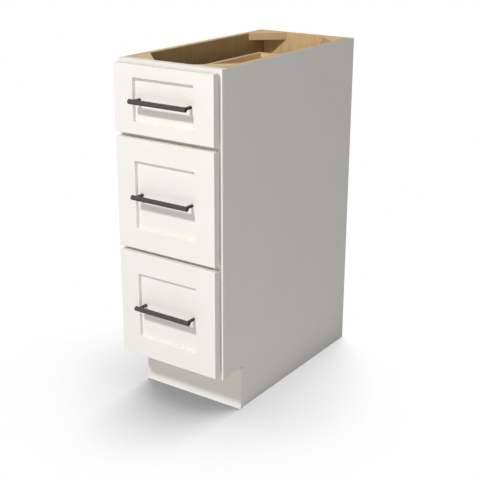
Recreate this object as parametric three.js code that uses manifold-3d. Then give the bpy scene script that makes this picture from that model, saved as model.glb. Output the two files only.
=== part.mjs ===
// A face-frame kitchen base cabinet, 12 inches wide, with three drawers on side-mounted slides.
//
// Millimetres, +Z up, the drawers open towards -Y. While it is built, y = 0 is the front of the face
// frame, z = 0 is the floor and x = 0 is the middle of the cabinet. The finished group is then moved
// so that its origin is the bottom centre of everything, the pulls included.

import * as THREE from 'three';
import { mergeVertices } from 'three/addons/utils/BufferGeometryUtils.js';
import Module from 'manifold-3d';

const wasm = await Module();
wasm.setup();

// ---- Driving dimensions --------------------------------------------------------------------------

// Carcass.
const cabinetWidth = 304.8; // 12 in, over the face frame
const cabinetHeight = 876.3; // 34 1/2 in, floor to the top of the frame
const cabinetDepth = 609.6; // 24 in, front of the face frame to the back
const sideThickness = 18;
const sideInset = 3.175; // side panel's outer face, inside the edge of the frame
const backThickness = 12.7;
const deckThickness = 12.7; // bottom panel
const toeHeight = 114.3; // 4 1/2 in
const toeDepth = 76.2; // 3 in, front of the frame to the toe-kick board
const toeBoardThickness = 12.7;

// Face frame.
const frameThickness = 19.05;
const stileWidth = 38.1;
const railWidth = 38.1;

// Corner gussets under the worktop.
const gussetLeg = 76.2;
const gussetThickness = 19.05;
const gussetHoleDiameter = 5; // screw up into the worktop
const gussetHoleSetback = 24; // hole's centre from both legs

// Drawer fronts: a flat panel held in a frame of two stiles and two rails.
const frontThickness = 19.05;
const bumperGap = 4.7625; // back of the front to the face frame
const sideReveal = 6.35; // face frame that shows beside the fronts
const topReveal = 7.9375;
const bottomReveal = 11.1125;
const frontSpacing = 11.1125; // between one front and the next
const topFrontHeight = 165.1; // 6 1/2 in; the two lower fronts share what is left
const frontStileWidth = 57.15;
const topFrontRailWidth = 30.1625;
const lowerFrontRailWidth = 53.975;
const recessDepth = 9.525; // front face down to the flat panel
const flatPanelThickness = 6.35;
const panelGrooveDepth = 9.525;
const grooveClearance = 0.2; // round a panel or a tenon in its groove
const outerEdgeRadius = 2; // round the outside of a front
const innerEdgeChamfer = 0.8; // round the recess

// Bar pull: a round bar on two posts, centred on the flat panel.
const pullBarLength = 168;
const pullBarDiameter = 12;
const pullBarEndChamfer = 0.8;
const pullPostSpacing = 150;
const pullPostDiameter = 8;
const pullStandoff = 29.6625; // flat panel to the bar's axis

// Drawer boxes.
const slideSpace = 12.7; // box side to the edge of the opening, where the slide goes
const boxRise = 6.35; // box above the rail below it
const topBoxHeadroom = 11.1125; // rail above the box down to its top edge
const lowerBoxHeadroom = 38.1;
const boxBoardThickness = 12.7;
const boxRearGap = 66.675; // back of the box to the back panel
const boxBottomThickness = 6.35;
const boxBottomLift = 12.7; // box's bottom panel above its lower edge
const boxGrooveDepth = 6.35;

// Dovetails at the corners of the boxes.
const tailPitch = 33; // wanted; rounded to whole tails over the height
const tailEndWidth = 22;
const tailFlare = 2.1; // each side of a tail widens by this towards its end
const dovetailClearance = 0.25;

// Slides: a moving rail on the box runs in a channel fixed to the cabinet. The channel carries a
// bearing strip in its mouth, and the rail one at its rear end, so the drawer is held all the way.
const slideAboveBoxBottom = 50.8; // slide's centre line
const slideSteel = 1.5;
const slideSetback = 3.175; // front of the slide behind the front of the frame
const channelHeight = 45;
const channelReach = 10.2; // width of the channel, from the stile towards the box
const channelLip = 2.5; // turned-in edge of its flanges
const slideRailHeight = 34;
const slideRailReach = 8.9; // width of the moving rail, from the box outwards
const bearingLength = 60; // one in the channel's mouth, one at the rear end of the moving rail
const bearingWidth = 3.6;
const slideRunningGap = 0.4; // bearing to what runs along it
const slideHoleDiameter = 4.5;
const slideHoleSpacing = 20; // pairs of holes, in height
const slideRailHoleCount = 3;
const slideRailHoleSetback = 40; // first and last hole from the ends of the rail
const bracketHeight = 36; // rear bracket's flange on the back panel
const bracketSideGap = 3; // rear bracket's flange to the side panel

// Facets.
const barSides = 24;
const postSides = 20;
const holeSides = 12;
const edgeSteps = 3;

// ---- Places that follow from them ----------------------------------------------------------------

const openingX = cabinetWidth / 2 - stileWidth; // half the width of an opening in the frame
const sideOuterX = cabinetWidth / 2 - sideInset;
const sideInnerX = sideOuterX - sideThickness;
const backY = cabinetDepth - backThickness; // inner face of the back panel
const frontBackY = -bumperGap; // back face of the drawer fronts
const frontFaceY = frontBackY - frontThickness;
const frontHalfWidth = cabinetWidth / 2 - sideReveal;
const flatPanelY = frontFaceY + recessDepth;
const barAxisY = flatPanelY - pullStandoff;
const foremostY = barAxisY - pullBarDiameter / 2;
const boxOuterX = openingX - slideSpace;
const boxInnerX = boxOuterX - boxBoardThickness;
const boxFrontY = frontBackY;
const boxBackY = backY - boxRearGap;

const finishes = {
  paint: { color: 0xf4f1ea, roughness: 0.45, metalness: 0 },
  wood: { color: 0xd3b27e, roughness: 0.6, metalness: 0 },
  steel: { color: 0xb9bcbf, roughness: 0.35, metalness: 0.9 },
  darkMetal: { color: 0x4a4844, roughness: 0.4, metalness: 0.8 },
};

const sides = [
  { name: 'left', sign: -1 },
  { name: 'right', sign: 1 },
];

// ---- Geometry helpers ----------------------------------------------------------------------------

// A box between six exact planes, so that faces meant to touch share one coordinate.
// The two bounds of a direction may come in either order.
function block(xBounds, yBounds, zBounds) {
  const box = new THREE.BoxGeometry(1, 1, 1);
  const corners = box.getAttribute('position');
  const bound = (value, bounds) => (value < 0 ? Math.min(...bounds) : Math.max(...bounds));
  for (let i = 0; i < corners.count; i += 1) {
    const x = bound(corners.getX(i), xBounds);
    const y = bound(corners.getY(i), yBounds);
    const z = bound(corners.getZ(i), zBounds);
    corners.setXYZ(i, x, y, z);
  }
  return box;
}

function shapeFrom(points) {
  return new THREE.Shape(points.map(([a, b]) => new THREE.Vector2(a, b)));
}

// A prism along one axis between two exact planes. The outline's two coordinates are the other two
// axes in the order X, Y, Z. An extrusion along Y runs backwards, which keeps its faces outwards.
function prism(axis, outline, from, to) {
  const shape = outline instanceof THREE.Shape ? outline : shapeFrom(outline);
  const options = { depth: 1, steps: 1, bevelEnabled: false, curveSegments: holeSides };
  const solid = new THREE.ExtrudeGeometry(shape, options);
  const corners = solid.getAttribute('position');
  for (let i = 0; i < corners.count; i += 1) {
    const a = corners.getX(i);
    const b = corners.getY(i);
    const atFarEnd = corners.getZ(i) > 0.5;
    if (axis === 'x') corners.setXYZ(i, atFarEnd ? to : from, a, b);
    if (axis === 'y') corners.setXYZ(i, a, atFarEnd ? from : to, b);
    if (axis === 'z') corners.setXYZ(i, a, b, atFarEnd ? to : from);
  }
  return solid;
}

// A cylinder along X or Y through (x, y, z), for a hole, a post or a bar.
function cylinder(axis, diameter, [x, y, z], length, segments) {
  const rod = new THREE.CylinderGeometry(diameter / 2, diameter / 2, length, segments);
  if (axis === 'x') rod.rotateZ(Math.PI / 2);
  return rod.translate(x, y, z);
}

function manifoldFrom(geometry) {
  const bare = geometry.clone();
  bare.deleteAttribute('normal');
  bare.deleteAttribute('uv');
  const welded = mergeVertices(bare);
  const vertProperties = new Float32Array(welded.getAttribute('position').array);
  const triVerts = new Uint32Array(welded.getIndex().array);
  return new wasm.Manifold(new wasm.Mesh({ numProp: 3, vertProperties, triVerts }));
}

function geometryFrom(manifold) {
  const mesh = manifold.getMesh();
  const geometry = new THREE.BufferGeometry();
  geometry.setAttribute('position', new THREE.BufferAttribute(mesh.vertProperties, 3));
  geometry.setIndex(new THREE.BufferAttribute(mesh.triVerts, 1));
  const faceted = geometry.toNonIndexed();
  faceted.computeVertexNormals();
  return faceted;
}

function combine(first, others, operation) {
  const start = manifoldFrom(first);
  const result = others.reduce((body, other) => body[operation](manifoldFrom(other)), start);
  return geometryFrom(result);
}

function join(first, ...others) {
  return combine(first, others, 'add');
}

function cut(first, ...cutters) {
  return combine(first, cutters, 'subtract');
}

function common(first, second) {
  return combine(first, [second], 'intersect');
}

function addPiece(group, name, geometry, finish) {
  const piece = new THREE.Mesh(geometry, new THREE.MeshStandardMaterial(finishes[finish]));
  piece.name = name;
  group.add(piece);
}

// ---- Layout of the drawers -----------------------------------------------------------------------

// The rails of the face frame, from the top down. A middle rail is centred behind the gap between
// two fronts.
function layOutRails(fronts) {
  const topRail = { name: 'top', low: cabinetHeight - railWidth, high: cabinetHeight };
  const bottomRail = { name: 'bottom', low: toeHeight, high: toeHeight + railWidth };
  const middleRails = ['upper', 'lower'].map((name, i) => {
    const centre = (fronts[i].low + fronts[i + 1].high) / 2;
    return { name, low: centre - railWidth / 2, high: centre + railWidth / 2 };
  });
  return [topRail, ...middleRails, bottomRail];
}

function layOutFronts() {
  const height = cabinetHeight - topReveal - toeHeight - bottomReveal;
  const lowerFrontHeight = (height - topFrontHeight - 2 * frontSpacing) / 2;
  const heights = [topFrontHeight, lowerFrontHeight, lowerFrontHeight];
  let high = cabinetHeight - topReveal;
  return heights.map((frontHeight) => {
    const front = { low: high - frontHeight, high };
    high = front.low - frontSpacing;
    return front;
  });
}

// Heights of a drawer are from the lower edge of its front, where its group stands.
function layOutDrawer(name, front, railAbove, railBelow) {
  const isTop = name === 'top';
  const boxLow = railBelow.high + boxRise;
  const boxHigh = railAbove.low - (isTop ? topBoxHeadroom : lowerBoxHeadroom);
  return {
    name,
    standsAt: front.low,
    frontHeight: front.high - front.low,
    frontRailWidth: isTop ? topFrontRailWidth : lowerFrontRailWidth,
    boxLow: boxLow - front.low,
    boxHigh: boxHigh - front.low,
    slideHeight: boxLow + slideAboveBoxBottom - front.low,
  };
}

const fronts = layOutFronts();
const rails = layOutRails(fronts);
const drawers = ['top', 'middle', 'bottom'].map((name, i) => (
  layOutDrawer(name, fronts[i], rails[i], rails[i + 1])
));

// ---- Carcass and face frame ----------------------------------------------------------------------

function addCarcass(group) {
  const sideOutline = [
    [frameThickness, toeHeight],
    [toeDepth + toeBoardThickness, toeHeight],
    [toeDepth + toeBoardThickness, 0],
    [cabinetDepth, 0],
    [cabinetDepth, cabinetHeight],
    [frameThickness, cabinetHeight],
  ];
  for (const { name, sign } of sides) {
    const [from, to] = [sign * sideInnerX, sign * sideOuterX].sort((a, b) => a - b);
    addPiece(group, `side_panel_${name}`, prism('x', sideOutline, from, to), 'paint');
  }
  const inside = [-sideInnerX, sideInnerX];
  const deck = block(inside, [frameThickness, backY], [toeHeight, toeHeight + deckThickness]);
  addPiece(group, 'bottom_panel', deck, 'wood');
  const back = block(inside, [backY, cabinetDepth], [0, cabinetHeight]);
  addPiece(group, 'back_panel', back, 'wood');
  const frameWide = [-cabinetWidth / 2, cabinetWidth / 2];
  const toeBoard = block(frameWide, [toeDepth, toeDepth + toeBoardThickness], [0, toeHeight]);
  addPiece(group, 'toe_kick_board', toeBoard, 'paint');
}

function addFaceFrame(group) {
  const depth = [0, frameThickness];
  for (const { name, sign } of sides) {
    const width = [sign * openingX, (sign * cabinetWidth) / 2];
    const stile = block(width, depth, [toeHeight, cabinetHeight]);
    addPiece(group, `frame_stile_${name}`, stile, 'paint');
  }
  for (const rail of rails) {
    const bar = block([-openingX, openingX], depth, [rail.low, rail.high]);
    addPiece(group, `frame_rail_${rail.name}`, bar, 'paint');
  }
}

// A triangular block in one corner of the open top, with its screw hole.
function gussetGeometry(xSign, cornerY, ySign) {
  const cornerX = xSign * sideInnerX;
  const outline = shapeFrom([
    [cornerX, cornerY],
    [cornerX - xSign * gussetLeg, cornerY],
    [cornerX, cornerY + ySign * gussetLeg],
  ]);
  const hole = new THREE.Path();
  const holeX = cornerX - xSign * gussetHoleSetback;
  const holeY = cornerY + ySign * gussetHoleSetback;
  hole.absarc(holeX, holeY, gussetHoleDiameter / 2, 0, 2 * Math.PI);
  outline.holes.push(hole);
  return prism('z', outline, cabinetHeight - gussetThickness, cabinetHeight);
}

function addGussets(group) {
  for (const { name, sign } of sides) {
    const atFront = gussetGeometry(sign, frameThickness, 1);
    addPiece(group, `corner_gusset_front_${name}`, atFront, 'wood');
    const atBack = gussetGeometry(sign, backY, -1);
    addPiece(group, `corner_gusset_back_${name}`, atBack, 'wood');
  }
}

// ---- Slides --------------------------------------------------------------------------------------

// Two holes, one above the other, along X or Y.
function holePair(axis, [x, y, z], length) {
  return [-1, 1].map((up) => {
    const centre = [x, y, z + (up * slideHoleSpacing) / 2];
    return cylinder(axis, slideHoleDiameter, centre, length, holeSides);
  });
}

// A pair of bearing strips in the space between the rail's flanges and the channel's. The distances
// are from the slide's centre line, and the reach is from the box outwards.
function bearingStrips(sign, centreZ, yBounds, [near, far]) {
  const width = [slideRailReach, slideRailReach - bearingWidth];
  const xBounds = width.map((reach) => sign * (boxOuterX + reach));
  return [-1, 1].map((up) => block(xBounds, yBounds, [centreZ + up * near, centreZ + up * far]));
}

// The channel is screwed to the edge of the stile in front and, through its bracket, to the back
// panel behind. Its section is a C with turned-in lips, open towards the box.
function channelGeometry(sign, centreZ) {
  const outerX = sign * openingX;
  const half = channelHeight / 2;
  const inward = (distance) => outerX - sign * distance;
  const upperHalf = [
    [inward(0), half],
    [inward(channelReach), half],
    [inward(channelReach), half - slideSteel - channelLip],
    [inward(channelReach - slideSteel), half - slideSteel - channelLip],
    [inward(channelReach - slideSteel), half - slideSteel],
    [inward(slideSteel), half - slideSteel],
  ];
  const lowerHalf = upperHalf.map(([x, z]) => [x, -z]).reverse();
  const section = [...upperHalf, ...lowerHalf].map(([x, z]) => [x, centreZ + z]);
  const channel = prism('y', section, slideSetback, boxBackY);

  const bracketZ = [centreZ - bracketHeight / 2, centreZ + bracketHeight / 2];
  const armOverlap = 2 * slideSteel;
  const arm = block([inward(0), inward(slideSteel)], [boxBackY - armOverlap, backY], bracketZ);
  const flangeEdgeX = sign * (sideInnerX - bracketSideGap);
  const flange = block([inward(slideSteel), flangeEdgeX], [backY - slideSteel, backY], bracketZ);

  const stileHoleY = (slideSetback + frameThickness) / 2;
  const stileHoles = holePair('x', [inward(slideSteel / 2), stileHoleY, centreZ], 3 * slideSteel);
  const flangeHoleX = (inward(0) + flangeEdgeX) / 2;
  const flangeHoles = holePair('y', [flangeHoleX, backY - slideSteel / 2, centreZ], 3 * slideSteel);

  const mouthY = [slideSetback, slideSetback + bearingLength];
  const stripReach = [half - slideSteel / 2, slideRailHeight / 2 + slideRunningGap];
  const strips = bearingStrips(sign, centreZ, mouthY, stripReach);
  return cut(join(channel, arm, flange, ...strips), ...stileHoles, ...flangeHoles);
}

// The moving rail is a C open towards the channel, with a bearing strip on each flange.
function slideRailGeometry(sign, centreZ) {
  const outward = (distance) => sign * (boxOuterX + distance);
  const half = slideRailHeight / 2;
  const section = [
    [outward(0), half],
    [outward(slideRailReach), half],
    [outward(slideRailReach), half - slideSteel],
    [outward(slideSteel), half - slideSteel],
    [outward(slideSteel), slideSteel - half],
    [outward(slideRailReach), slideSteel - half],
    [outward(slideRailReach), -half],
    [outward(0), -half],
  ].map(([x, z]) => [x, centreZ + z]);
  const rail = prism('y', section, slideSetback, boxBackY);

  const rearY = [boxBackY - bearingLength, boxBackY];
  const stripReach = [half - slideSteel / 2, channelHeight / 2 - slideSteel - slideRunningGap];
  const strips = bearingStrips(sign, centreZ, rearY, stripReach);

  const firstHoleY = slideSetback + slideRailHoleSetback;
  const lastHoleY = boxBackY - slideRailHoleSetback;
  const holes = [];
  for (let i = 0; i < slideRailHoleCount; i += 1) {
    const y = firstHoleY + ((lastHoleY - firstHoleY) * i) / (slideRailHoleCount - 1);
    const centre = [outward(slideSteel / 2), y, centreZ];
    holes.push(cylinder('x', slideHoleDiameter, centre, 3 * slideSteel, holeSides));
  }
  return cut(join(rail, ...strips), ...holes);
}

function addChannels(group) {
  for (const drawer of drawers) {
    for (const { name, sign } of sides) {
      const channel = channelGeometry(sign, drawer.standsAt + drawer.slideHeight);
      addPiece(group, `${drawer.name}_slide_channel_${name}`, channel, 'steel');
    }
  }
}

// ---- Drawer fronts -------------------------------------------------------------------------------

// The outside of a whole front, with its front edges rounded. It runs on behind the back face,
// where the pieces that are cut from it end.
function roundedBlank(height) {
  const radius = outerEdgeRadius;
  const outline = shapeFrom([
    [-frontHalfWidth, 0],
    [frontHalfWidth, 0],
    [frontHalfWidth, height],
    [-frontHalfWidth, height],
  ]);
  const blank = new THREE.ExtrudeGeometry(outline, {
    depth: frontThickness,
    steps: 1,
    bevelEnabled: true,
    bevelSize: radius,
    bevelOffset: -radius,
    bevelThickness: radius,
    bevelSegments: edgeSteps,
  });
  return blank.rotateX(Math.PI / 2).translate(0, frontFaceY + radius + frontThickness, 0);
}

// What the chamfer round the recess takes away: a frustum that widens towards the front.
function chamferCutter(innerX, lowZ, highZ) {
  const chamfer = innerEdgeChamfer;
  const outline = shapeFrom([
    [-innerX, lowZ],
    [innerX, lowZ],
    [innerX, highZ],
    [-innerX, highZ],
  ]);
  const cutter = new THREE.ExtrudeGeometry(outline, {
    depth: frontThickness,
    steps: 1,
    bevelEnabled: true,
    bevelSize: chamfer,
    bevelThickness: chamfer,
    bevelSegments: 1,
  });
  return cutter.rotateX(Math.PI / 2).translate(0, frontFaceY, 0);
}

function addFront(group, drawer) {
  const height = drawer.frontHeight;
  const rail = drawer.frontRailWidth;
  const innerX = frontHalfWidth - frontStileWidth;
  const depth = [frontFaceY, frontBackY];
  const blank = roundedBlank(height);
  const chamfer = chamferCutter(innerX, rail, height - rail);
  const panelY = [flatPanelY, flatPanelY + flatPanelThickness];
  const grooveY = [panelY[0] - grooveClearance, panelY[1] + grooveClearance];
  const tongue = panelGrooveDepth - grooveClearance;

  for (const { name, sign } of sides) {
    const board = block([sign * innerX, sign * frontHalfWidth], depth, [0, height]);
    const grooveX = [sign * innerX, sign * (innerX + panelGrooveDepth)];
    const groove = block(grooveX, grooveY, [-outerEdgeRadius, height + outerEdgeRadius]);
    const stile = cut(common(board, blank), groove, chamfer);
    addPiece(group, `${drawer.name}_front_stile_${name}`, stile, 'paint');
  }

  const railPlaces = [
    { name: 'bottom', outer: 0, inner: rail, away: -1 },
    { name: 'top', outer: height, inner: height - rail, away: 1 },
  ];
  for (const { name, outer, inner, away } of railPlaces) {
    const board = common(block([-innerX, innerX], depth, [outer, inner]), blank);
    const tenonX = [-innerX - tongue, innerX + tongue];
    const tenon = block(tenonX, panelY, [outer, inner]);
    const grooveX = [tenonX[0] - grooveClearance, tenonX[1] + grooveClearance];
    const groove = block(grooveX, grooveY, [inner, inner + away * panelGrooveDepth]);
    const railPiece = cut(join(board, tenon), groove, chamfer);
    addPiece(group, `${drawer.name}_front_rail_${name}`, railPiece, 'paint');
  }

  const panelX = [-innerX - tongue, innerX + tongue];
  const flatPanel = block(panelX, panelY, [rail - tongue, height - rail + tongue]);
  addPiece(group, `${drawer.name}_front_panel`, flatPanel, 'paint');
}

// ---- Pull ----------------------------------------------------------------------------------------

function addPull(group, drawer) {
  const centreZ = drawer.frontHeight / 2;
  const radius = pullBarDiameter / 2;
  const half = pullBarLength / 2;
  const profile = [
    [0, -half],
    [radius - pullBarEndChamfer, -half],
    [radius, pullBarEndChamfer - half],
    [radius, half - pullBarEndChamfer],
    [radius - pullBarEndChamfer, half],
    [0, half],
  ].map(([r, along]) => new THREE.Vector2(r, along));
  const bar = new THREE.LatheGeometry(profile, barSides);
  bar.rotateZ(Math.PI / 2).translate(0, barAxisY, centreZ);
  const posts = sides.map(({ sign }) => {
    const centre = [(sign * pullPostSpacing) / 2, (barAxisY + flatPanelY) / 2, centreZ];
    return cylinder('y', pullPostDiameter, centre, pullStandoff, postSides);
  });
  addPiece(group, `${drawer.name}_pull`, join(bar, ...posts), 'darkMetal');
}

// ---- Drawer box ----------------------------------------------------------------------------------

// The edges of the tails at one end of a box side, from the bottom up. A tail is narrow at the base
// line and wide at the end of the board.
function tailEdges(low, high) {
  const count = Math.max(1, Math.round((high - low) / tailPitch));
  const pitch = (high - low) / count;
  const endHalf = tailEndWidth / 2;
  const baseHalf = endHalf - tailFlare;
  const edges = [];
  for (let i = 0; i < count; i += 1) {
    const centre = low + (i + 0.5) * pitch;
    edges.push({ sign: -1, atBase: centre - baseHalf, atEnd: centre - endHalf });
    edges.push({ sign: 1, atBase: centre + baseHalf, atEnd: centre + endHalf });
  }
  return edges;
}

// Outline of a side board, in Y and Z, with tails at both ends.
function boxSideOutline(low, high) {
  const edges = tailEdges(low, high);
  const tailedEnd = (baseY, endY) => edges.flatMap(({ sign, atBase, atEnd }) => {
    const base = [baseY, atBase];
    const end = [endY, atEnd];
    return sign < 0 ? [base, end] : [end, base];
  });
  const frontBaseY = boxFrontY + boxBoardThickness;
  const backBaseY = boxBackY - boxBoardThickness;
  return [
    [frontBaseY, low],
    ...tailedEnd(frontBaseY, boxFrontY),
    [frontBaseY, high],
    [backBaseY, high],
    ...tailedEnd(backBaseY, boxBackY).reverse(),
    [backBaseY, low],
  ];
}

// Outlines of the pins of a front or back board, in Y and Z: what the tails leave, less the glue gap.
function pinOutlines(baseY, endY, low, high) {
  const edges = tailEdges(low, high);
  const inPin = ({ sign, atBase, atEnd }) => ({
    atBase: atBase + sign * dovetailClearance,
    atEnd: atEnd + sign * dovetailClearance,
  });
  const ends = [
    { atBase: low, atEnd: low },
    ...edges.map(inPin),
    { atBase: high, atEnd: high },
  ];
  const outlines = [];
  for (let i = 0; i < ends.length; i += 2) {
    const under = ends[i];
    const over = ends[i + 1];
    outlines.push([
      [baseY, under.atBase],
      [endY, under.atEnd],
      [endY, over.atEnd],
      [baseY, over.atBase],
    ]);
  }
  return outlines;
}

// A front or back board: a plain board between the sides, with pins that fill their sockets.
function pinnedBoard(baseY, endY, low, high) {
  const core = block([-boxInnerX, boxInnerX], [baseY, endY], [low, high]);
  const rootX = boxInnerX - boxBoardThickness / 2;
  const pins = sides.flatMap(({ sign }) => {
    const [from, to] = [sign * rootX, sign * boxOuterX].sort((a, b) => a - b);
    return pinOutlines(baseY, endY, low, high).map((outline) => prism('x', outline, from, to));
  });
  return join(core, ...pins);
}

function addBox(group, drawer) {
  const low = drawer.boxLow;
  const high = drawer.boxHigh;
  const frontBaseY = boxFrontY + boxBoardThickness;
  const backBaseY = boxBackY - boxBoardThickness;
  const panelZ = [low + boxBottomLift, low + boxBottomLift + boxBottomThickness];

  // The grooves are a box as wide and long as they reach; the panel is smaller by the clearance.
  const slot = boxGrooveDepth;
  const grooves = block(
    [-boxInnerX - slot, boxInnerX + slot],
    [frontBaseY - slot, backBaseY + slot],
    [panelZ[0] - grooveClearance, panelZ[1] + grooveClearance],
  );
  const tongue = boxGrooveDepth - grooveClearance;
  const bottom = block(
    [-boxInnerX - tongue, boxInnerX + tongue],
    [frontBaseY - tongue, backBaseY + tongue],
    panelZ,
  );
  addPiece(group, `${drawer.name}_box_bottom`, bottom, 'wood');

  for (const { name, sign } of sides) {
    const [from, to] = [sign * boxInnerX, sign * boxOuterX].sort((a, b) => a - b);
    const board = prism('x', boxSideOutline(low, high), from, to);
    addPiece(group, `${drawer.name}_box_side_${name}`, cut(board, grooves), 'wood');
  }
  const frontBoard = pinnedBoard(frontBaseY, boxFrontY, low, high);
  addPiece(group, `${drawer.name}_box_front`, cut(frontBoard, grooves), 'wood');
  const backBoard = pinnedBoard(backBaseY, boxBackY, low, high);
  addPiece(group, `${drawer.name}_box_back`, cut(backBoard, grooves), 'wood');
}

function makeDrawer(drawer) {
  const group = new THREE.Group();
  group.position.z = drawer.standsAt;
  addFront(group, drawer);
  addPull(group, drawer);
  addBox(group, drawer);
  for (const { name, sign } of sides) {
    const rail = slideRailGeometry(sign, drawer.slideHeight);
    addPiece(group, `${drawer.name}_slide_rail_${name}`, rail, 'steel');
  }
  return group;
}

// ---- Assembly ------------------------------------------------------------------------------------

const cabinet = new THREE.Group();
cabinet.position.y = -(foremostY + cabinetDepth) / 2;
addCarcass(cabinet);
addFaceFrame(cabinet);
addGussets(cabinet);
addChannels(cabinet);
for (const drawer of drawers) {
  cabinet.add(makeDrawer(drawer));
}

export default cabinet;
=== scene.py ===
"""A narrow kitchen base cabinet with three drawers, finished for a studio picture.

White satin paint outside, lacquered plywood and solid wood inside, zinc-plated slides, dark satin
pulls, and the small fasteners and pads that hold it together. Metres, +Z up, fronts towards -Y.
"""

import math

import bmesh
import bpy
from mathutils import Color, Matrix, Vector


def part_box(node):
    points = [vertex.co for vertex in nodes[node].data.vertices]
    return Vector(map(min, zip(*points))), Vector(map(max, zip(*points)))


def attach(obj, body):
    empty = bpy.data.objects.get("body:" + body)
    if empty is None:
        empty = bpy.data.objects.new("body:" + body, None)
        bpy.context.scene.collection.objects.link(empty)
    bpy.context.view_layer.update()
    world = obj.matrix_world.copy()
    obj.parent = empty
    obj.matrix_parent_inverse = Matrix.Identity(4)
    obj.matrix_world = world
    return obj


MM = 0.001
AXES = "XYZ"

DRAWERS = ("top", "middle", "bottom")
SIDES = {"left": -1, "right": 1}  # sign of X
CABINET = "cabinet"

# ---- Picture and light ---------------------------------------------------------------------------

CAMERA_PLACE = Vector((1.4309, -2.0585, 1.2519))
CAMERA_TURN = math.radians(34.657)
CAMERA_PITCH = math.radians(70.588)  # from straight down
CAMERA_ROLL = math.radians(0.15)
PICTURE_SIZE = 480  # pixels, either way
FOCAL_LENGTH = 996.73  # pixels
SENSOR = 36.0  # millimetres

KEY_PLACE = Vector((-0.25, -4.42, 4.6))
KEY_AIM = Vector((0.0, -3.2, 0.0))  # low, so that the fronts are lit evenly from top to bottom
KEY_SIZE = 0.55
KEY_POWER = 253.0  # watts
FILL_PLACE = Vector((1.8, -2.9, 1.3))
FILL_AIM = Vector((0.0, -0.25, 0.3))
FILL_SIZE = 0.8
FILL_POWER = 12.5
SKY_STRENGTH = 0.22  # where 1 is white
FLOOR_COLOR = (0.775, 0.795, 0.82, 1.0)
FLOOR_BRIGHTNESS = 1.26  # of the open floor in the picture, where 1 is already white
FLOOR_SIZE = 12.0
SHADE_REACH = 3.0  # how far off a thing can be and still shade the floor
SHADE_LEAN = 0.6  # how far the sky, whose hiding makes the floor's painted shadow, leans over to the back
SHADE_SAMPLES = 32
DARKEST_SHADE = 0.29  # the floor's least brightness, close to the cabinet
SHADE_ROUNDING = 0.2  # how gently the shade levels out there

# ---- Colours and small sizes ---------------------------------------------------------------------

WHITE = (1.0, 1.0, 1.0, 1.0)
BLACK = (0.0, 0.0, 0.0, 1.0)


def linear(red, green, blue):
    """A colour written as it looks on the screen, 0 to 255, as the shader's linear RGBA."""
    on_screen = Color([channel / 255 for channel in (red, green, blue)])
    return (*on_screen.from_srgb_to_scene_linear(), 1.0)


PAINT_COLOR = linear(245, 242, 235)
PAINT_COLOR_WARM = linear(243, 240, 231)
WOOD_LIGHT = linear(232, 201, 151)
WOOD_DARK = linear(213, 176, 123)
# darker copies of the plywood's wood tones: painted shade for the side panels' shadowed insides
SHADED_SIDE_LIGHT = linear(176, 150, 108)
SHADED_SIDE_DARK = linear(159, 131, 89)
BOX_LIGHT = linear(239, 213, 172)
BOX_DARK = linear(221, 188, 141)
PORE_GREY = linear(196, 186, 172)
EDGE_LIGHT = linear(232, 206, 166)
EDGE_DARK = linear(206, 174, 128)
EDGE_FIBRE = linear(190, 156, 112)
ZINC_LIGHT = linear(214, 217, 220)
ZINC_DARK = linear(196, 199, 200)
PULL_COLOR = linear(76, 74, 71)
PULL_COLOR_WORN = linear(88, 86, 82)
# the bar's ends: painted shade, much darker than the pull's own colour
PULL_END_SHADE_COLOR = linear(26, 25, 24)
PAD_COLOR = linear(226, 226, 222)
NYLON_COLOR = linear(222, 222, 214)
PLASTIC_SHADE = 0.88  # of a plastic's colour, in the hollows of its texture

GRAIN_STRETCH = 0.045  # of a texture's scale, along the grain
GRAIN_SHIFT = (0.37, 0.61, 0.83)  # from one kind of board to the next, so that no two match
FIGURE_BANDS = 7.0
BRUSHED_STRETCH = 0.03  # of a texture's scale, along the bar of a pull
PLY_THICKNESS = 1.5 * MM
PLY_WAVER = 0.1  # of a ply

WOOD_EASE = 0.7 * MM  # rounding of sawn edges
PAINT_EASE = 0.9 * MM
STEEL_EASE = 0.25 * MM
SEAM_EASE = 0.15 * MM  # where two painted pieces meet
WELD = 0.002 * MM
BEVEL_ANGLE = math.radians(40)
BEVEL_STEPS = 2
LARGE_FACE_WEIGHT = 100  # so that flat faces are shaded flat, up to their rounded edges
SQUARE = 0.9  # least share of a face's normal along an axis it is square to

# Fasteners and pads. The screws of the slides stand over the holes in the CAD nodes.
ROUND_SIDES = 32
PAN_HEAD = (4.0 * MM, 2.6 * MM)  # radius and height, as are the next ones
WASHER_HEAD = (3.4 * MM, 2.0 * MM)
WASHER_FLANGE = (6.5 * MM, 0.9 * MM)
LOW_HEAD = (3.9 * MM, 1.6 * MM)
NO_FLANGE = (0.0, 0.0)
FLANGE_PROFILE = ((1.0, 0.0), (1.0, 0.6), (0.96, 1.0))  # shares of the radius and the height
HEAD_DOME = ((1.0, 0.0), (1.0, 0.35), (0.95, 0.62), (0.84, 0.84), (0.66, 1.0))  # also shares
CROSS_REACH = 0.56  # of a screw head's radius, as is the next
CROSS_HALF_WIDTH = 0.12
CROSS_TAPER = 0.7  # size of the recess at its floor, as a share of its mouth
CROSS_DEPTH = 0.6  # of the head's height
PULL_POST_SETBACK = 9.0 * MM  # from an end of the bar
FRONT_SCREW_X = 48.0 * MM
FRONT_SCREW_HEIGHTS = {"top": 26.0 * MM, "middle": 62.0 * MM, "bottom": 62.0 * MM}  # from the pull
SLIDE_STEEL = 1.5 * MM
SLIDE_PAIR = 20.0 * MM  # from one screw of a pair to the other
RAIL_SCREW_SETBACK = 40.0 * MM  # from the ends of the rail
RAIL_SCREWS = 3
STILE_SCREW_SETBACK = 7.94 * MM  # from the front of the slide
CHANNEL_WIDTH = 10.2 * MM
BEARING_NEAR = 5.3 * MM  # from the box side, as is the next
BEARING_FAR = 8.9 * MM
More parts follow.
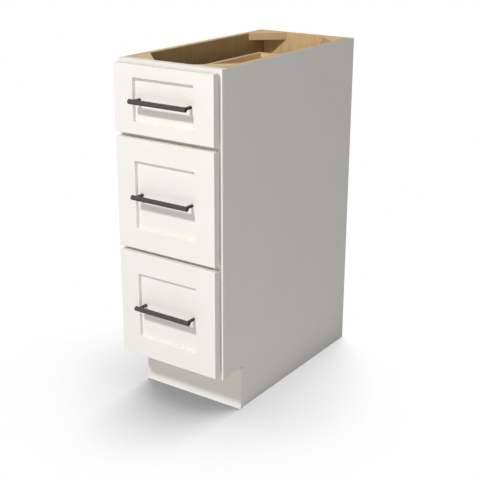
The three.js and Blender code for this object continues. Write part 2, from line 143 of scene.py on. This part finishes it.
BEARING_LENGTH = 60.0 * MM
BEARING_HEIGHTS = (17.05 * MM, 20.9 * MM)  # from the slide's centre line
PAD_RADIUS = 5.0 * MM
PAD_HEIGHT = 4.6 * MM
PAD_SHOULDER = 0.35  # of the height, where the dome starts
PAD_STEPS = 5
PAD_TIP = 0.2  # of the radius, flat at the top
PAD_FROM_SIDE = 11.0 * MM
PAD_FROM_END = 14.0 * MM

# ---- Shader helpers ------------------------------------------------------------------------------


def socket(sockets, identifier):
    """One of several sockets that have the same name."""
    return next(s for s in sockets if s.identifier == identifier)


class Shader:
    """The nodes of a material or a world, made and wired by short calls."""

    def __init__(self, owner, output):
        owner.use_nodes = True
        self.owner = owner
        self.tree = owner.node_tree
        self.tree.nodes.clear()
        self.output = self.node(output)

    def node(self, kind, **settings):
        """A new node, with its settings that aren't sockets."""
        made = self.tree.nodes.new(kind)
        for name, value in settings.items():
            setattr(made, name, value)
        return made

    def put(self, target, value):
        """Sets a socket's value, or wires another socket into it."""
        if isinstance(value, bpy.types.NodeSocket):
            self.tree.links.new(value, target)
        else:
            target.default_value = value

    def surface(self, value):
        """Wires a shader to the output."""
        self.put(self.output.inputs["Surface"], value)

    def principled(self, **inputs):
        """The surface of most materials. An input is named with _ for each space."""
        shader = self.node("ShaderNodeBsdfPrincipled")
        for name, value in inputs.items():
            self.put(shader.inputs[name.replace("_", " ")], value)
        self.surface(shader.outputs[0])

    def place(self, scale=(1, 1, 1), offset=(0, 0, 0)):
        """Position on the piece, in metres, stretched and moved."""
        coordinates = self.node("ShaderNodeTexCoord")
        mapping = self.node("ShaderNodeMapping")
        self.put(mapping.inputs["Vector"], coordinates.outputs["Object"])
        self.put(mapping.inputs["Location"], offset)
        self.put(mapping.inputs["Scale"], scale)
        return mapping.outputs["Vector"]

    def coordinate(self, axis):
        """Position along one axis, in metres."""
        coordinates = self.node("ShaderNodeTexCoord")
        split = self.node("ShaderNodeSeparateXYZ")
        self.put(split.inputs[0], coordinates.outputs["Object"])
        return split.outputs[axis]

    def noise(self, vector, scale, detail=4.0, roughness=0.55, distortion=0.0):
        """A 0 to 1 factor that wanders over the surface."""
        texture = self.node("ShaderNodeTexNoise")
        self.put(texture.inputs["Vector"], vector)
        self.put(texture.inputs["Scale"], scale)
        self.put(texture.inputs["Detail"], detail)
        self.put(texture.inputs["Roughness"], roughness)
        self.put(texture.inputs["Distortion"], distortion)
        return texture.outputs["Fac"]

    def math(self, operation, *values):
        """The result of an operation on numbers and sockets."""
        made = self.node("ShaderNodeMath", operation=operation)
        for place, value in zip(made.inputs, values):
            self.put(place, value)
        return made.outputs[0]

    def ramp(self, factor, *stops):
        """Colours by factor: each stop is (place, colour)."""
        made = self.node("ShaderNodeValToRGB")
        elements = made.color_ramp.elements
        while len(elements) < len(stops):
            elements.new(1.0)
        for element, (place, color) in zip(elements, stops):
            element.position = place
            element.color = color
        self.put(made.inputs["Fac"], factor)
        return made.outputs["Color"]

    def span(self, factor, low, high):
        """A 0 to 1 factor as a number from low to high."""
        made = self.node("ShaderNodeMapRange")
        self.put(made.inputs["Value"], factor)
        self.put(made.inputs["To Min"], low)
        self.put(made.inputs["To Max"], high)
        return made.outputs["Result"]

    def mix(self, factor, first, second, blend="MIX"):
        """Two colours, the second one as strong as the factor says."""
        made = self.node("ShaderNodeMix", data_type="RGBA", blend_type=blend)
        self.put(socket(made.inputs, "Factor_Float"), factor)
        self.put(socket(made.inputs, "A_Color"), first)
        self.put(socket(made.inputs, "B_Color"), second)
        return socket(made.outputs, "Result_Color")

    def bump(self, height, distance, strength):
        """A normal tilted as if the surface rose by up to distance, in metres."""
        made = self.node("ShaderNodeBump")
        self.put(made.inputs["Height"], height)
        self.put(made.inputs["Distance"], distance)
        self.put(made.inputs["Strength"], strength)
        return made.outputs["Normal"]


def new_material(name):
    """A new material's nodes, with nothing but the output."""
    return Shader(bpy.data.materials.new(name), "ShaderNodeOutputMaterial")


# ---- Materials -----------------------------------------------------------------------------------


def white_paint():
    """Sprayed satin enamel: faint orange peel, and a gloss that wanders a little."""
    shader = new_material("white_paint")
    peel = shader.noise(shader.place(), scale=380.0, detail=2.0)
    clouds = shader.noise(shader.place(), scale=9.0, detail=3.0)
    shader.principled(
        Base_Color=shader.ramp(clouds, (0.3, PAINT_COLOR), (0.7, PAINT_COLOR_WARM)),
        Roughness=shader.span(clouds, 0.36, 0.46),
        Specular_IOR_Level=0.4,
        Normal=shader.bump(peel, distance=0.06 * MM, strength=0.35),
    )
    return shader.owner


def timber(name, along, light, dark, seed):
    """Clear-lacquered timber: broad growth figure, fine fibres and short pores along one axis."""
    shader = new_material(name)
    stretch = [GRAIN_STRETCH if axis == along else 1.0 for axis in AXES]
    offset = [shift * seed for shift in GRAIN_SHIFT]
    stretched = shader.place(stretch, offset)
    figure = shader.noise(stretched, scale=16.0, detail=3.0, distortion=1.6)
    bands = shader.math("PINGPONG", shader.math("MULTIPLY", figure, FIGURE_BANDS), 0.5)
    fibres = shader.noise(stretched, scale=900.0, detail=4.0, roughness=0.7)
    pores = shader.noise(stretched, scale=420.0, detail=2.0, roughness=0.4)
    flecks = shader.ramp(pores, (0.62, WHITE), (0.72, PORE_GREY))
    tone = shader.mix(shader.span(bands, 0.0, 1.1), light, dark)
    tone = shader.mix(shader.span(fibres, 0.0, 0.35), tone, dark)
    tone = shader.mix(0.5, tone, flecks, blend="MULTIPLY")
    shader.principled(
        Base_Color=tone,
        Roughness=shader.span(fibres, 0.42, 0.58),
        Specular_IOR_Level=0.35,
        Normal=shader.bump(fibres, distance=0.05 * MM, strength=0.4),
    )
    return shader.owner


def plies(name, board, across):
    """A plywood board's edge: thin plies, every second one darker because its end grain shows."""
    shader = new_material(name)
    low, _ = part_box(board)
    distance = shader.math("SUBTRACT", shader.coordinate(across), low[AXES.index(across)])
    straight = shader.math("DIVIDE", distance, PLY_THICKNESS)
    noise = shader.noise(shader.place(), scale=30.0, detail=2.0)
    ply = shader.math("ADD", straight, shader.span(noise, -PLY_WAVER, PLY_WAVER))
    end_grain = shader.math("PINGPONG", ply, 1.0)
    stripe = shader.ramp(end_grain, (0.35, EDGE_LIGHT), (0.65, EDGE_DARK))
    fibres = shader.noise(shader.place(), scale=700.0, detail=3.0)
    shader.principled(
        Base_Color=shader.mix(shader.span(fibres, 0.0, 0.4), stripe, EDGE_FIBRE),
        Roughness=0.62,
        Specular_IOR_Level=0.3,
        Normal=shader.bump(fibres, distance=0.1 * MM, strength=0.4),
    )
    return shader.owner


def zinc():
    """Bright zinc plate with the faint cloudiness of passivated steel."""
    shader = new_material("slide_steel")
    clouds = shader.noise(shader.place(), scale=60.0)
    shader.principled(
        Base_Color=shader.ramp(clouds, (0.3, ZINC_LIGHT), (0.75, ZINC_DARK)),
        Metallic=1.0,
        Roughness=shader.span(clouds, 0.24, 0.4),
    )
    return shader.owner


def dark_metal():
    """The pulls' dark satin finish, brushed along the bar."""
    shader = new_material("pull_metal")
    along_bar = shader.place(scale=(BRUSHED_STRETCH, 1.0, 1.0))
    brushed = shader.noise(along_bar, scale=2600.0, detail=3.0)
    clouds = shader.noise(shader.place(), scale=120.0, detail=3.0)
    shader.principled(
        Base_Color=shader.ramp(clouds, (0.3, PULL_COLOR), (0.75, PULL_COLOR_WORN)),
        Metallic=0.1,
        Roughness=shader.span(brushed, 0.42, 0.58),
        Specular_IOR_Level=0.08,
        Normal=shader.bump(brushed, distance=0.02 * MM, strength=0.5),
    )
    return shader.owner


def shaded_pull_end_metal():
    """The sawn ends of the bar, darker than the rest: painted shade."""
    shader = new_material("pull_end_shade")
    blotches = shader.noise(shader.place(), scale=900.0, detail=2.0)
    shader.principled(
        Base_Color=shader.ramp(blotches, (0.4, PULL_END_SHADE_COLOR), (0.9, PULL_COLOR)),
        Roughness=0.6,
        Specular_IOR_Level=0.1,
    )
    return shader.owner


def plastic(name, color):
    """Moulded plastic with a fine texture."""
    shader = new_material(name)
    texture = shader.noise(shader.place(), scale=1500.0, detail=2.0)
    red, green, blue, alpha = color
    shaded = (PLASTIC_SHADE * red, PLASTIC_SHADE * green, PLASTIC_SHADE * blue, alpha)
    shader.principled(
        Base_Color=shader.ramp(texture, (0.2, color), (0.9, shaded)),
        Roughness=0.45,
        Normal=shader.bump(texture, distance=0.02 * MM, strength=0.5),
    )
    return shader.owner


# ---- CAD pieces: edges and finishes --------------------------------------------------------------


def ease_edges(piece, width):
    """Rounds a piece's sharp edges a little, and shades its round faces smoothly."""
    mesh = piece.data
    for name in ("custom_normal", "sharp_edge"):
        if name in mesh.attributes:
            mesh.attributes.remove(mesh.attributes[name])
    mesh.shade_smooth()
    weld = piece.modifiers.new("weld", "WELD")
    weld.merge_threshold = WELD
    bevel = piece.modifiers.new("eased_edges", "BEVEL")
    bevel.width = width
    bevel.segments = BEVEL_STEPS
    bevel.limit_method = "ANGLE"
    bevel.angle_limit = BEVEL_ANGLE
    normals = piece.modifiers.new("normals", "WEIGHTED_NORMAL")
    normals.weight = LARGE_FACE_WEIGHT
    normals.keep_sharp = True


def dress(piece, materials, choose=None):
    """Gives a piece its materials; choose says which one a face takes."""
    piece.data.materials.clear()
    for material in materials:
        piece.data.materials.append(material)
    for face in piece.data.polygons:
        face.material_index = choose(face) if choose else 0


def facing(axis, toward=None):
    """A test for faces square to an axis, on its + or - side only where toward is 1 or -1."""

    def test(face):
        part = face.normal[AXES.index(axis)]
        return (abs(part) if toward is None else toward * part) > SQUARE

    return test


def veneered(piece, face_material, edge_material, thin_axis):
    """A plywood board: veneer on its two faces, plies round its edges."""
    is_face = facing(thin_axis)
    dress(piece, [face_material, edge_material], lambda face: 0 if is_face(face) else 1)


def dress_side(side, sign, materials):
    """A side panel: paint outside, veneer darkened with painted shade inside, and plies round the
    edges.
    """
    outside = facing("X", sign)
    inside = facing("X", -sign)

    def choose(face):
        if outside(face):
            return 0
        return 1 if inside(face) else 2

    dress(side, materials, choose)


def dress_carcass(nodes, paint):
    """The fixed boards: plywood inside, and a painted face frame, toe board and outside."""
    side_plies = {
        name: plies(f"side_{name}_plies", f"side_panel_{name}", "X") for name in SIDES
    }
    # the same plywood as the back, made darker: painted shade on the side panels' insides
    shaded_side_veneer = timber("shaded_side_veneer", "Z", SHADED_SIDE_LIGHT, SHADED_SIDE_DARK, seed=1)
    for name, sign in SIDES.items():
        dress_side(nodes[f"side_panel_{name}"], sign, [paint, shaded_side_veneer, side_plies[name]])
    back_veneer = timber("back_veneer", "Z", WOOD_LIGHT, WOOD_DARK, seed=7)
    veneered(nodes["back_panel"], back_veneer, plies("back_plies", "back_panel", "Y"), "Y")
    deck_veneer = timber("deck_veneer", "Y", WOOD_LIGHT, WOOD_DARK, seed=2)
    veneered(nodes["bottom_panel"], deck_veneer, plies("deck_plies", "bottom_panel", "Z"), "Z")

    gusset_plies = plies("gusset_plies", "corner_gusset_front_left", "Z")
    gusset_veneer = timber("gusset_veneer", "X", WOOD_LIGHT, WOOD_DARK, seed=3)
    for depth in ("front", "back"):
        for name in SIDES:
            veneered(nodes[f"corner_gusset_{depth}_{name}"], gusset_veneer, gusset_plies, "Z")

    painted_nodes = ["toe_kick_board", "frame_stile_left", "frame_stile_right"]
    painted_nodes += [f"frame_rail_{place}" for place in ("top", "upper", "lower", "bottom")]
    for name in painted_nodes:
        dress(nodes[name], [paint])


def dress_drawer(nodes, drawer, materials):
    """A painted front, a bare wooden box with a plywood bottom, and the pull."""
    for part in ("stile_left", "stile_right", "rail_top", "rail_bottom", "panel"):
        dress(nodes[f"{drawer}_front_{part}"], [materials["paint"]])
    for name in SIDES:
        dress(nodes[f"{drawer}_box_side_{name}"], [materials["box_long"]])
    for part in ("front", "back"):
        dress(nodes[f"{drawer}_box_{part}"], [materials["box_cross"]])
    bottom = nodes[f"{drawer}_box_bottom"]
    bottom_plies = plies(f"{drawer}_bottom_plies", bottom.name, "Z")
    veneered(bottom, materials["box_floor"], bottom_plies, "Z")
    # the bar's square ends take the darker finish, which is painted shade
    is_end = facing("X")
    dress(
        nodes[f"{drawer}_pull"],
        [materials["pull"], materials["pull_end_shade"]],
        lambda face: 1 if is_end(face) else 0,
    )


def bearing_faces(piece, box_side, ends):
    """Chooses material 1 for a slide's bearing strips, which lie between the ends in Y, and 0 for
    its steel."""
    low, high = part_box(piece.name)
    centre_z = (low.z + high.z) / 2
    start, end = ends
    strip_low, strip_high = BEARING_HEIGHTS

    def choose(face):
        x, y, z = face.center
        across = BEARING_NEAR < abs(x) - box_side < BEARING_FAR
        along = start <= y <= end
        above_or_below = strip_low < abs(z - centre_z) < strip_high
        return 1 if across and along and above_or_below else 0

    return choose


def dress_slides(nodes, drawer, steel, nylon):
    """Zinc slides with nylon strips: in the mouth of a channel and at the rear of a rail."""
    box_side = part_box(f"{drawer}_box_front")[1].x
    for name in SIDES:
        channel = nodes[f"{drawer}_slide_channel_{name}"]
        rail = nodes[f"{drawer}_slide_rail_{name}"]
        rail_low, rail_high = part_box(rail.name)
        mouth = (rail_low.y, rail_low.y + BEARING_LENGTH)
        rear = (rail_high.y - BEARING_LENGTH, rail_high.y)
        dress(channel, [steel, nylon], bearing_faces(channel, box_side, mouth))
        dress(rail, [steel, nylon], bearing_faces(rail, box_side, rear))


def ease_width(name):
    """How far the edges of the CAD node of this name are rounded."""
    if "slide" in name or "pull" in name:
        return STEEL_EASE
    if "_front_" in name and not name.startswith("corner"):
        return SEAM_EASE
    if name.startswith(("frame", "toe")):
        return PAINT_EASE
    return WOOD_EASE


# ---- Meshes and objects --------------------------------------------------------------------------


def add_object(name, data):
    """An object in the scene."""
    made = bpy.data.objects.new(name, data)
    bpy.context.scene.collection.objects.link(made)
    return made


def mesh_from(name, shape):
    """A mesh with the shape's faces. The shape is freed."""
    mesh = bpy.data.meshes.new(name)
    shape.to_mesh(mesh)
    shape.free()
    return mesh


def revolve(shape, profile):
    """Rings of vertices about Z through the profile's (radius, height) points, joined and closed at
    the base. The last ring, left open, comes back."""
    rings = []
    for radius, height in profile:
        ring = []
        for step in range(ROUND_SIDES):
            angle = 2 * math.pi * step / ROUND_SIDES
            place = (radius * math.cos(angle), radius * math.sin(angle), height)
            ring.append(shape.verts.new(place))
        rings.append(ring)
    for lower, upper in zip(rings, rings[1:]):
        join_rings(shape, lower, upper)
    shape.faces.new(list(reversed(rings[0])))
    return rings[-1]


def join_rings(shape, lower, upper):
    """Quads between two rings of as many vertices."""
    for step, vert in enumerate(lower):
        after = (step + 1) % len(lower)
        shape.faces.new((vert, lower[after], upper[after], upper[step]))


# ---- Fasteners and pads --------------------------------------------------------------------------


def cross_outline(reach, half_width):
    """The twelve corners of a plus sign, in order."""
    corners = []
    for step in range(4):
        turn = Matrix.Rotation(step * math.pi / 2, 2)
        for corner in ((reach, -half_width), (reach, half_width), (half_width, half_width)):
            corners.append(turn @ Vector(corner))
    return corners


def head_profile(size, flange):
    """The (radius, height) points of a domed head, which stands on its flange where it has one."""
    flange_radius, base = flange
    profile = []
    if flange != NO_FLANGE:
        profile = [(share * flange_radius, rise * base) for share, rise in FLANGE_PROFILE]
    radius, height = size
    return profile + [(share * radius, base + rise * height) for share, rise in HEAD_DOME]


def screw_head(name, size, flange=NO_FLANGE):
    """A domed head with a cross recess. Its size and its flange's are (radius, height)."""
    radius, height = size
    top = flange[1] + height
    shape = bmesh.new()
    rim = revolve(shape, head_profile(size, flange))
    outline = cross_outline(CROSS_REACH * radius, CROSS_HALF_WIDTH * radius)
    mouth = [shape.verts.new((x, y, top)) for x, y in outline]
    floor_z = top - CROSS_DEPTH * height
    floor = [shape.verts.new((CROSS_TAPER * x, CROSS_TAPER * y, floor_z)) for x, y in outline]
    join_rings(shape, floor, mouth)
    shape.faces.new(floor)
    borders = []
    for ring in (rim, mouth):
        for step, vert in enumerate(ring):
            borders.append(shape.edges.get((vert, ring[(step + 1) % len(ring)])))
    bmesh.ops.triangle_fill(shape, use_beauty=True, edges=borders)
    bmesh.ops.recalc_face_normals(shape, faces=shape.faces)
    return mesh_from(name, shape)


def add_copies(name, template, places, material, body):
    """One piece: the template at every (place, direction that the template's Z axis takes)."""
    shape = bmesh.new()
    for place, direction in places:
        turned = direction.to_track_quat("Z", "Y").to_matrix().to_4x4()
        copy = template.copy()
        copy.transform(Matrix.Translation(place) @ turned)
        shape.from_mesh(copy)
        bpy.data.meshes.remove(copy)
    mesh = mesh_from(name, shape)
    piece = add_object(name, mesh)
    mesh.materials.append(material)
    mesh.shade_smooth()
    mesh.set_sharp_from_angle(angle=BEVEL_ANGLE)
    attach(piece, body)


def add_front_fixings(drawer, heads, material):
    """Inside a drawer box: the pull's two screws, and four that hold the front."""
    pull_low, pull_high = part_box(f"{drawer}_pull")
    pull_z = (pull_low.z + pull_high.z) / 2
    inner_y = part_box(f"{drawer}_box_front")[1].y
    inward = Vector((0, 1, 0))
    post_x = pull_high.x - PULL_POST_SETBACK
    pull_places = [(Vector((sign * post_x, inner_y, pull_z)), inward) for sign in SIDES.values()]
    front_places = []
    for sign in SIDES.values():
        for up in (-1, 1):
            z = pull_z + up * FRONT_SCREW_HEIGHTS[drawer]
            front_places.append((Vector((sign * FRONT_SCREW_X, inner_y, z)), inward))
    body = f"drawer_{drawer}"
    add_copies(f"{drawer}_pull_screws", heads["pan"], pull_places, material, body)
    add_copies(
        f"{drawer}_front_screws", heads["washer"], front_places, material, body
    )


def rail_screw_places(drawer):
    """Through the web of each moving rail, into the drawer box."""
    places = []
    for name, sign in SIDES.items():
        low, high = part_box(f"{drawer}_slide_rail_{name}")
        web_x = sign * (min(abs(low.x), abs(high.x)) + SLIDE_STEEL)
        centre_z = (low.z + high.z) / 2
        first = low.y + RAIL_SCREW_SETBACK
        last = high.y - RAIL_SCREW_SETBACK
        for step in range(RAIL_SCREWS):
            y = first + (last - first) * step / (RAIL_SCREWS - 1)
            places.append((Vector((web_x, y, centre_z)), Vector((sign, 0, 0))))
    return places


def channel_screw_places(drawer):
    """Through each channel's tab, into the stile, and through its bracket, into the back panel."""
    places = []
    for name, sign in SIDES.items():
        rail_low, rail_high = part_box(f"{drawer}_slide_rail_{name}")
        low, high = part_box(f"{drawer}_slide_channel_{name}")
        near_x, bracket_edge_x = sorted((abs(low.x), abs(high.x)))
        stile_x = near_x + CHANNEL_WIDTH
        stile_y = rail_low.y + STILE_SCREW_SETBACK
        bracket_x = (stile_x + bracket_edge_x) / 2
        bracket_y = high.y - SLIDE_STEEL
        for up in (-1, 1):
            z = (rail_low.z + rail_high.z) / 2 + up * SLIDE_PAIR / 2
            at_stile = Vector((sign * (stile_x - SLIDE_STEEL), stile_y, z))
            at_back = Vector((sign * bracket_x, bracket_y, z))
            places.append((at_stile, Vector((-sign, 0, 0))))
            places.append((at_back, Vector((0, -1, 0))))
    return places


def add_slide_screws(drawer, heads, material):
    """The screws of the moving rails ride with the drawer, and those of the channels stay."""
    body = f"drawer_{drawer}"
    rail_places = rail_screw_places(drawer)
    channel_places = channel_screw_places(drawer)
    add_copies(f"{drawer}_rail_screws", heads["low"], rail_places, material, body)
    add_copies(
        f"{drawer}_channel_screws", heads["low"], channel_places, material, CABINET
    )


def add_pads(drawer, template, material):
    """Soft pads on the back of a front, which meet the stiles of the face frame."""
    low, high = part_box(f"{drawer}_front_stile_right")
    x = high.x - PAD_FROM_SIDE
    places = []
    for sign in SIDES.values():
        for z in (low.z + PAD_FROM_END, high.z - PAD_FROM_END):
            places.append((Vector((sign * x, high.y, z)), Vector((0, 1, 0))))
    add_copies(f"{drawer}_pads", template, places, material, f"drawer_{drawer}")


def pad_template():
    """A soft dome, flat where it is stuck on."""
    profile = [(PAD_RADIUS, 0.0), (PAD_RADIUS, PAD_SHOULDER * PAD_HEIGHT)]
    for step in range(1, PAD_STEPS + 1):
        angle = 0.5 * math.pi * step / (PAD_STEPS + 1)
        rise = PAD_SHOULDER + (1 - PAD_SHOULDER) * math.sin(angle)
        profile.append((math.cos(angle) * PAD_RADIUS, rise * PAD_HEIGHT))
    profile.append((PAD_TIP * PAD_RADIUS, PAD_HEIGHT))
    shape = bmesh.new()
    shape.faces.new(revolve(shape, profile))
    bmesh.ops.recalc_face_normals(shape, faces=shape.faces)
    return mesh_from("pad", shape)


# ---- Floor, light and camera ---------------------------------------------------------------------


def background_rays(shader):
    """1 for the rays that should see a white background: from the camera, a gloss or glass."""
    path = shader.node("ShaderNodeLightPath")
    seen = shader.math("MAXIMUM", path.outputs["Is Camera Ray"], path.outputs["Is Glossy Ray"])
    return shader.math("MAXIMUM", seen, path.outputs["Is Transmission Ray"])


def background_surface(shader, lit, shown):
    """Wires two shaders to the output: the one shown to those rays, and the one for the light."""
    choice = shader.node("ShaderNodeMixShader")
    shader.put(choice.inputs[0], background_rays(shader))
    shader.put(choice.inputs[1], lit.outputs[0])
    shader.put(choice.inputs[2], shown.outputs[0])
    shader.surface(choice.outputs[0])


def painted_floor_shadow(shader):
    """The floor's brightness in the picture, a painted shadow: less where things hide the leaning
    sky from it.
    """
    lean = shader.node("ShaderNodeCombineXYZ")
    shader.put(lean.inputs["Y"], SHADE_LEAN)
    shader.put(lean.inputs["Z"], 1.0)
    openness = shader.node("ShaderNodeAmbientOcclusion", samples=SHADE_SAMPLES)
    shader.put(openness.inputs["Distance"], SHADE_REACH)
    shader.put(openness.inputs["Normal"], lean.outputs[0])
    shade = shader.math("MULTIPLY", openness.outputs["AO"], FLOOR_BRIGHTNESS)
    return shader.math("SMOOTH_MAX", shade, DARKEST_SHADE, SHADE_ROUNDING)


def floor_material():
    """A pale matt floor. The picture sees it as a white glow, with a painted shadow where the
    cabinet hides the sky.
    """
    shader = new_material("floor")
    plain = shader.node("ShaderNodeBsdfDiffuse")
    shader.put(plain.inputs["Color"], FLOOR_COLOR)
    # what the picture sees: a glow whose grey is the painted shadow
    shown = shader.node("ShaderNodeEmission")
    grey = shader.ramp(painted_floor_shadow(shader), (0.0, BLACK), (1.0, WHITE))
    shader.put(shown.inputs["Color"], grey)
    background_surface(shader, lit=plain, shown=shown)
    return shader.owner


def add_floor():
    """A square of floor under the cabinet."""
    half = FLOOR_SIZE / 2
    corners = [(-half, -half, 0), (half, -half, 0), (half, half, 0), (-half, half, 0)]
    mesh = bpy.data.meshes.new("floor")
    mesh.from_pydata(corners, [], [(0, 1, 2, 3)])
    mesh.materials.append(floor_material())
    floor = add_object("floor", mesh)


def add_world():
    """A weak white sky, which the picture sees as plain white."""
    world = bpy.data.worlds.new("studio")
    bpy.context.scene.world = world
    shader = Shader(world, "ShaderNodeOutputWorld")
    sky = shader.node("ShaderNodeBackground")
    shader.put(sky.inputs["Color"], WHITE)
    shader.put(sky.inputs["Strength"], SKY_STRENGTH)
    backdrop = shader.node("ShaderNodeBackground")
    shader.put(backdrop.inputs["Color"], WHITE)
    background_surface(shader, lit=sky, shown=backdrop)


def add_lamp(name, place, aim, size, power):
    """A square lamp at a place, aimed at a point."""
    light = bpy.data.lights.new(name, "AREA")
    light.size = size
    light.energy = power
    lamp = add_object(name, light)
    lamp.location = place
    lamp.rotation_euler = (aim - place).to_track_quat("-Z", "Y").to_euler()
    lamp.visible_camera = False


def add_lights():
    """A high key lamp in front, and a weak broad one near the camera."""
    add_lamp("key_lamp", KEY_PLACE, KEY_AIM, KEY_SIZE, KEY_POWER)
    add_lamp("fill_lamp", FILL_PLACE, FILL_AIM, FILL_SIZE, FILL_POWER)


def add_camera():
    """The camera, where it was fitted to the cabinet's corners and edges."""
    data = bpy.data.cameras.new("camera")
    data.sensor_width = SENSOR
    data.lens = FOCAL_LENGTH / PICTURE_SIZE * SENSOR
    camera = add_object("camera", data)
    turn = Matrix.Rotation(CAMERA_TURN, 4, "Z")
    pitch = Matrix.Rotation(CAMERA_PITCH, 4, "X")
    roll = Matrix.Rotation(CAMERA_ROLL, 4, "Z")
    camera.matrix_world = Matrix.Translation(CAMERA_PLACE) @ turn @ pitch @ roll
    bpy.context.scene.camera = camera


# ---- Scene ---------------------------------------------------------------------------------------

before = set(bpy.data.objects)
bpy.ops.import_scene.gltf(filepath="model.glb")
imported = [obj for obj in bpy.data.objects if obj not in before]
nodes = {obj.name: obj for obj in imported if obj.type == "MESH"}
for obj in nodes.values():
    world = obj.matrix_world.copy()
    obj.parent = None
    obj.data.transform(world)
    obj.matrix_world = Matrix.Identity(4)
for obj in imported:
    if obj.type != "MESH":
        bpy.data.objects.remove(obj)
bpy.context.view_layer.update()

add_camera()
add_world()
add_floor()
add_lights()
bpy.context.scene.view_settings.view_transform = "Standard"

materials = {
    "paint": white_paint(),
    "steel": zinc(),
    "pull": dark_metal(),
    "pull_end_shade": shaded_pull_end_metal(),
    "nylon": plastic("nylon", NYLON_COLOR),
    "pad": plastic("pad", PAD_COLOR),
    "box_long": timber("box_wood_long", "Y", BOX_LIGHT, BOX_DARK, seed=4),
    "box_cross": timber("box_wood_cross", "X", BOX_LIGHT, BOX_DARK, seed=5),
    "box_floor": timber("box_floor_veneer", "Y", BOX_LIGHT, BOX_DARK, seed=6),
}
dress_carcass(nodes, materials["paint"])
for drawer in DRAWERS:
    dress_drawer(nodes, drawer, materials)
    dress_slides(nodes, drawer, materials["steel"], materials["nylon"])
for name, piece in nodes.items():
    ease_edges(piece, ease_width(name))

heads = {
    "pan": screw_head("pan_head", PAN_HEAD),
    "washer": screw_head("washer_head", WASHER_HEAD, WASHER_FLANGE),
    "low": screw_head("low_head", LOW_HEAD),
}
pad = pad_template()
for drawer in DRAWERS:
    add_front_fixings(drawer, heads, materials["steel"])
    add_slide_screws(drawer, heads, materials["steel"])
    add_pads(drawer, pad, materials["pad"])
